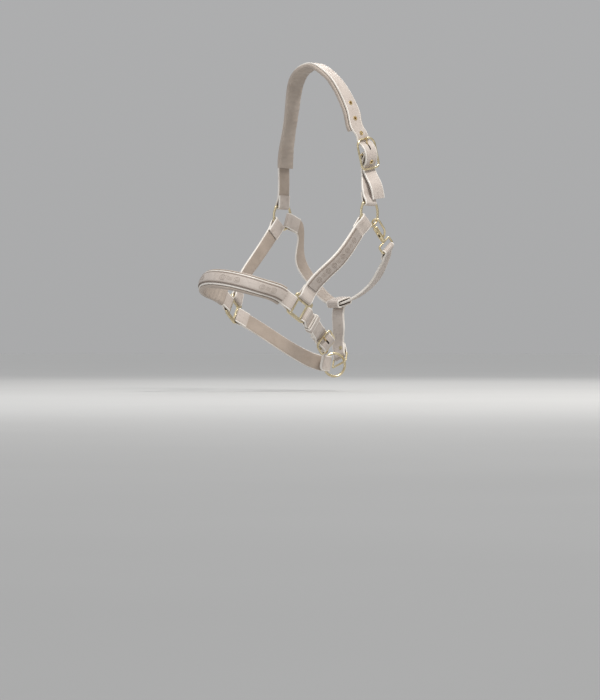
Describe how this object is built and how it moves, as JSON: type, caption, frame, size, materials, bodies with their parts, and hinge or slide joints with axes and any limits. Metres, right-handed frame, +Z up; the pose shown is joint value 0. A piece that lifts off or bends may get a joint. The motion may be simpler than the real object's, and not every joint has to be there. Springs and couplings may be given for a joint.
{
  "type": "leather headcollar",
  "caption": "Padded leather headcollar for a horse, worn and fastened, with crown and chin buckles, throat snap, side rings and a lead ring.",
  "frame": {"origin": "middle of the crown pad's inner face, where the headcollar rests on the poll", "axes": "+X the horse's left (near) side, -Y the way the horse faces, +Z up"},
  "size_m": [0.2064, 0.3317, 0.5035],
  "materials": {
    "leather": "pale greige ribbed face with cream painted edges and cream stitching",
    "padding": "soft padded lining with rolled edges",
    "brass": "polished pale brass with light handling wear"
  },
  "bodies": {
    "straps": {"left_upper_ring": "brass", "right_upper_ring": "brass", "left_square": "brass", "right_square": "brass", "left_cheek_strap": "leather", "right_cheek_strap": "leather", "left_cheek_overlay": "leather", "right_cheek_overlay": "leather", "noseband_strap": "leather", "noseband_overlay": "leather", "noseband_pad": "padding", "crown_strap": "leather", "crown_eyelets": "brass", "crown_pad": "padding", "left_hanger": "leather", "chin_chape": "leather", "chin_strap": "leather", "chin_eyelets": "brass", "snap_eye": "brass", "throat_strap": "leather", "jaw_strap": "leather", "jaw_rivet": "brass"},
    "crown_buckle": {"crown_buckle_frame": "brass"},
    "crown_tongue": {"crown_buckle_tongue": "brass"},
    "chin_buckle": {"chin_buckle_frame": "brass"},
    "chin_tongue": {"chin_buckle_tongue": "brass"},
    "snap": {"snap_body": "brass", "snap_spring": "brass"},
    "bolt": {"snap_bolt": "brass"},
    "lead_ring": {"lead_ring": "brass"},
    "jaw_loop": {"jaw_loop": "brass"},
    "keeper": {"chin_keeper": "leather"}
  },
  "joints": [
    {"name": "crown_buckle_rock", "type": "hinge", "parent": "straps", "child": "crown_buckle", "pos_m": [0.088, 0.0335, -0.1371], "axis": [-0.0816, -0.9747, -0.2083], "range_deg": [-2, 2]},
    {"name": "crown_tongue_lift", "type": "hinge", "parent": "crown_buckle", "child": "crown_tongue", "pos_m": [0.088, 0.0335, -0.1371], "axis": [0.0816, 0.9747, 0.2083], "range_deg": [0, 8]},
    {"name": "chin_buckle_rock", "type": "hinge", "parent": "straps", "child": "chin_buckle", "pos_m": [0.036, -0.009, -0.4371], "axis": [-0.3057, -0.5683, -0.764], "range_deg": [-2, 2]},
    {"name": "chin_tongue_lift", "type": "hinge", "parent": "chin_buckle", "child": "chin_tongue", "pos_m": [0.036, -0.009, -0.4371], "axis": [0.3057, 0.5683, 0.764], "range_deg": [0, 8]},
    {"name": "snap_swivel", "type": "hinge", "parent": "straps", "child": "snap", "pos_m": [0.09369, 0.0632, -0.27501], "axis": [-0.1133, -0.6127, 0.7822], "range_deg": [-8, 4]},
    {"name": "snap_bolt_slide", "type": "slide", "parent": "snap", "child": "bolt", "axis": [0.1133, 0.6127, -0.7822], "range_m": [0, 0.006], "stiffness_N_per_m": 400, "springref_m": -0.004, "deforming": ["snap_spring"]},
    {"name": "lead_ring_turn", "type": "hinge", "parent": "straps", "child": "lead_ring", "pos_m": [0.0085, 0.0414, -0.4731], "axis": [0.9207, -0.3903, 0], "continuous": true},
    {"name": "jaw_loop_swing", "type": "hinge", "parent": "straps", "child": "jaw_loop", "pos_m": [0.004, 0.061, -0.4591], "axis": [0.9203, 0.03, 0.3901], "range_deg": [-8, 8]},
    {"name": "chin_keeper_slide", "type": "slide", "parent": "straps", "child": "keeper", "axis": [-0.3391, 0.8128, -0.4736], "range_m": [-0.001, 0.01]}
  ]
}
